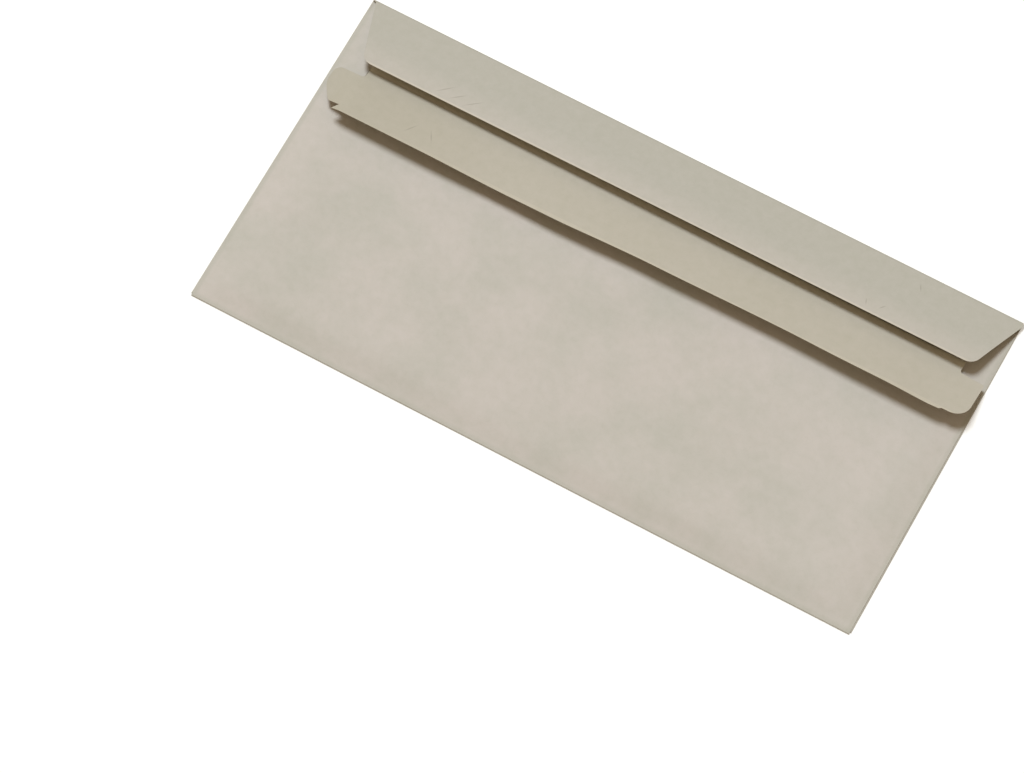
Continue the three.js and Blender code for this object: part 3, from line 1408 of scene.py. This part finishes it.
@dataclass
class ClosingFlap(Flap):
    """Outer flap on the top fold, tapered to its free edge, with gum on its inner face."""

    fold_radius: float = 0.43
    lift_at_fold: float = math.radians(17.0)
    lift_at_edge: float = math.radians(11.2)
    depth: float = 21.4
    skew: float = -0.0028
    side_inset: float = 0.3
    taper: float = math.tan(math.radians(19))
    shoulder: float = 0.4
    corner: float = 4.0
    rise_power: float = 1.5
    edge_heights: tuple[tuple[float, float], ...] = ((-60.0, -0.28), (10.0, 0.0))

    def __post_init__(self) -> None:
        """Hangs the flap on its hinge."""
        self.hang("closing_flap_hinge", 0.0)
        self.blank_start = self.axis.y

    def rise(self, u: float, past: float) -> float:
        """The free edge sinks a little towards the left."""
        return through(self.edge_heights, u) * (past / self.depth) ** self.rise_power

    def edge_at(self, x: float) -> float:
        """Where the free edge lies along the pattern."""
        return self.roll + self.depth + self.skew * x

    def sheet(self, finishes: Finishes) -> Object:
        """Crease and flap.

        Args:
            finishes: The materials.

        Returns:
            The folded sheet.
        """
        wide, start = self.half_width, self.roll + self.shoulder
        inset = self.side_inset + self.taper * (self.depth - self.shoulder)
        right, left = CUT_SHIFT + wide, CUT_SHIFT - wide
        return self.folded("closing_flap_sheet", [
            (wide, 0.0, 0.0),
            (wide, self.roll, 0.0),
            (right - self.side_inset, start, 0.0),
            (right - inset, self.edge_at(right - inset), self.corner),
            (left + inset, self.edge_at(left + inset), self.corner),
            (left + self.side_inset, start, 0.0),
            (-wide, self.roll, 0.0),
            (-wide, 0.0, 0.0),
        ], finishes.outer_first)

    def build(self, finishes: Finishes) -> list[Object]:
        """Builds the flap's pieces and ties its gum to the frame.

        Args:
            finishes: The materials.

        Returns:
            The pieces.
        """
        flap = self.sheet(finishes)
        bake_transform(flap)
        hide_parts("closing_flap", "closing_flap_crease")
        middle_lift = (self.lift_at_fold + self.lift_at_edge) / 2
        gum = self.gum_film("closing_flap_gum", middle_lift, seed=3, latex=finishes.latex)
        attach(gum, Body.CLOSING_FLAP.value)
        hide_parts("closing_flap_gum")
        return [flap, gum]


@dataclass
class CounterFlap(Flap):
    """Inner flap on the back panel's top fold, folded outwards, with ears beside its notches.

    The two ears are not alike: the left one is pressed down, and its nick is torn open.
    """

    blank_sign: float = -1.0
    fold_radius: float = 0.35
    lift_at_fold: float = math.radians(14.5)
    lift_at_edge: float = math.radians(16.5)
    depth: float = 19.4
    left_ear: tuple[Corner, ...] = (
        (-102.1, 20.2, 0.0), (-100.5, 18.1, 0.0), (-104.7, 17.8, 1.4), (-108.5, 12.0, 7.0),
        (-108.2, 5.3, 2.6))
    right_ear: tuple[Corner, ...] = (
        (109.1, 4.4, 0.3), (109.0, 18.4, 5.0), (101.8, 18.5, 0.0), (101.0, 19.1, 0.0))
    ear_tops: tuple[float, float] = (5.3, 4.0)
    notch_corner: float = 1.0
    left_press: float = 0.112
    press_from: float = 98.0
    press_full: float = 105.5
    edge_skew: float = -0.008
    edge_steps: int = 60
    rise_power: float = 1.4
    edge_heights: tuple[tuple[float, float], ...] = (
        (-110.0, -0.2), (-70.0, 0.0), (-45.0, -0.7), (-25.0, -0.4), (-8.0, 0.0),
        (8.0, 0.3), (30.0, 0.35), (60.0, 0.5), (84.0, 0.85), (98.0, 0.2))
    edge_depths: tuple[tuple[float, float], ...] = (
        (-100.0, 1.0), (-30.0, 0.95), (5.0, 0.05), (50.0, -0.5), (75.0, -0.2), (100.0, -0.1))

    def __post_init__(self) -> None:
        """Hangs the flap on its hinge, beside the notches of the frame."""
        low, high = corners_of("counter_flap_crease")
        self.notch_inner = high.x
        self.level = low.z
        self.hang("counter_flap_hinge", self.level)

    def rise(self, u: float, past: float) -> float:
        """The free edge waves, and the left ear is pressed down."""
        pressed = self.left_press * past * ease(-u, self.press_from, self.press_full)
        return through(self.edge_heights, u) * (past / self.depth) ** self.rise_power - pressed

    def sheet(self, finishes: Finishes) -> Object:
        """Crease and flap.

        Args:
            finishes: The materials.

        Returns:
            The folded sheet.
        """
        right, left = CUT_SHIFT + self.notch_inner, CUT_SHIFT - self.notch_inner
        right_ear, left_ear = ([(x, self.roll + d, r) for x, d, r in ear]
                               for ear in (self.right_ear, self.left_ear))
        first, last = right_ear[-1][0], left_ear[0][0]
        steps = [first + (last - first) * i / self.edge_steps for i in range(1, self.edge_steps)]
        free_edge = [(x, self.roll + self.depth + through(self.edge_depths, x), 0.0) for x in steps]
        return self.folded("counter_flap_sheet", [
            (right, 0.0, 0.0), (right, self.roll + self.ear_tops[1], self.notch_corner),
            *right_ear, *free_edge, *left_ear,
            (left, self.roll + self.ear_tops[0], self.notch_corner), (left, 0.0, 0.0),
        ], finishes.inner_first)

    def build(self, finishes: Finishes) -> list[Object]:
        """Builds the flap's pieces and ties its gum to the frame.

        Args:
            finishes: The materials.

        Returns:
            The pieces.
        """
        flap = self.sheet(finishes)
        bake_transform(flap)
        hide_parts("counter_flap", "counter_flap_crease")
        gum = self.gum_film("counter_flap_gum", self.lift_at_fold, seed=8, latex=finishes.latex)
        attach(gum, Body.COUNTER_FLAP.value)
        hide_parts("counter_flap_gum")
        return [flap, gum]


# Camera, light and floor

@dataclass
class Studio:
    """Camera at the photograph's angle, one soft key light, an even fill and a pale floor."""

    camera_place: Triple = (264.7, -481.7, 1355.4)
    camera_forward: Triple = (-0.1906, 0.3075, -0.9323)
    camera_up: Triple = (-0.4478, 0.8179, 0.3613)
    lens: float = 174.36
    sensor_width: float = 36.0
    clip: tuple[float, float] = (0.05, 50.0)
    key_direction: Triple = (-0.35, 0.40, 1.0)
    key_distance: float = 10.0
    key_width: float = 3.5
    key_power: float = 714.0
    key_colour: Triple = (0.93, 1.003, 1.078)
    fill: float = 0.315
    fill_colour: Triple = (1.0, 0.78, 0.51)
    floor_half: float = 4.0
    floor_seen: int = 0xF4F4F2
    floor_lit: int = 0xDEDDD8
    floor_glow: float = 0.3

    def camera(self) -> None:
        """Sets up the camera of the photograph."""
        forward = Vector(self.camera_forward).normalized()
        right = forward.cross(Vector(self.camera_up)).normalized()
        data = bpy.data.cameras.new("camera")
        data.sensor_fit = "HORIZONTAL"
        data.sensor_width = self.sensor_width
        data.lens = self.lens
        data.clip_start, data.clip_end = self.clip
        obj = in_scene("camera", data)
        turned = Matrix((right, right.cross(forward), -forward)).transposed().to_4x4()
        obj.matrix_world = Matrix.Translation(Vector(self.camera_place) * MM) @ turned
        bpy.context.scene.camera = obj

    def key(self) -> None:
        """Sets up a round soft box, turned to the envelope."""
        data = bpy.data.lights.new("key", "AREA")
        data.shape = "DISK"
        data.size = self.key_width
        data.energy = self.key_power
        data.color = self.key_colour
        obj = in_scene("key", data)
        towards = Vector(self.key_direction).normalized()
        obj.location = towards * self.key_distance
        obj.rotation_euler = towards.to_track_quat("Z", "Y").to_euler()

    def seen(self, tree: Tree) -> Node:
        """Tells light that is seen from light that falls on things.

        Args:
            tree: Tree of the floor or the world.

        Returns:
            The node that gives 1 for light seen straight, in a gloss or through something, else 0.
        """
        path = add_node(tree, "ShaderNodeLightPath")
        direct = add_node(tree, "ShaderNodeMath", {
            0: path.outputs["Is Camera Ray"], 1: path.outputs["Is Glossy Ray"],
        }, operation="MAXIMUM")
        return add_node(tree, "ShaderNodeMath", {
            0: direct, 1: path.outputs["Is Transmission Ray"]}, operation="MAXIMUM")

    def world(self) -> None:
        """Sets up an even warm fill from all round, which is seen as white."""
        world = bpy.data.worlds.new("fill")
        world.use_nodes = True
        tree = world.node_tree
        tree.nodes.clear()
        light = add_node(tree, "ShaderNodeBackground", {
            "Color": (*self.fill_colour, 1.0), "Strength": self.fill})
        white = add_node(tree, "ShaderNodeBackground", {
            "Color": (1.0, 1.0, 1.0, 1.0), "Strength": 1.0})
        mixed = add_node(tree, "ShaderNodeMixShader", {0: self.seen(tree), 1: light, 2: white})
        add_node(tree, "ShaderNodeOutputWorld", {"Surface": mixed})
        bpy.context.scene.world = world

    def floor(self) -> None:
        """Lays a plain pale floor that keeps the envelope's shadow."""
        mesh = bpy.data.meshes.new("floor")
        h = self.floor_half
        mesh.from_pydata([(-h, -h, 0), (h, -h, 0), (h, h, 0), (-h, h, 0)], [], [(0, 1, 2, 3)])
        material, tree = new_material("painted_floor")
        seen = self.seen(tree)
        colour = add_node(tree, "ShaderNodeMix", {
            0: seen, 6: linear(self.floor_lit), 7: linear(self.floor_seen)}, data_type="RGBA")
        matte = add_node(tree, "ShaderNodeBsdfDiffuse", {"Color": colour.outputs[2]})
        glow = add_node(tree, "ShaderNodeEmission", {"Strength": self.floor_glow})
        bright = add_node(tree, "ShaderNodeAddShader", {0: matte, 1: glow})
        floor = add_node(tree, "ShaderNodeMixShader", {0: seen, 1: matte, 2: bright})
        add_node(tree, "ShaderNodeOutputMaterial", {"Surface": floor})
        mesh.materials.append(material)
        obj = in_scene("floor", mesh)

    def build(self) -> None:
        """Sets up the camera, the lights and the floor."""
        for part in (self.camera, self.key, self.world, self.floor):
            part()
        bpy.context.scene.view_settings.view_transform = "Standard"


def main() -> None:
    """Builds the envelope from its frame and reports each piece."""
    logging.basicConfig(level=logging.INFO, format="%(name)s: %(message)s")
    Studio().build()
    pocket = Pocket()
    closing = ClosingFlap(pocket.half_width, pocket.thickness)
    counter = CounterFlap(pocket.half_width, pocket.thickness,
                          blank_start=pocket.bottom_start - pocket.back_end)
    finishes = Finishes(Blank(
        side_fold=pocket.side_start + pocket.side_run / 2,
        top_fold=closing.blank_start + closing.roll / 2,
        bottom_fold=pocket.bottom_start - pocket.bottom_run / 2,
        counter_fold=counter.blank_start - counter.roll / 2,
        closing_edge=closing.blank_start + closing.edge_at(0.0),
        counter_edge=counter.blank_start - counter.roll - counter.depth,
        closing_skew=-closing.skew,
        counter_skew=counter.edge_skew,
        left_notch=CUT_SHIFT - counter.notch_inner))
    for part in (pocket, closing, counter):
        for piece in part.build(finishes):
            log.info("%s: %d faces", piece.name, len(piece.data.polygons))


if __name__ == "__main__":
    main()
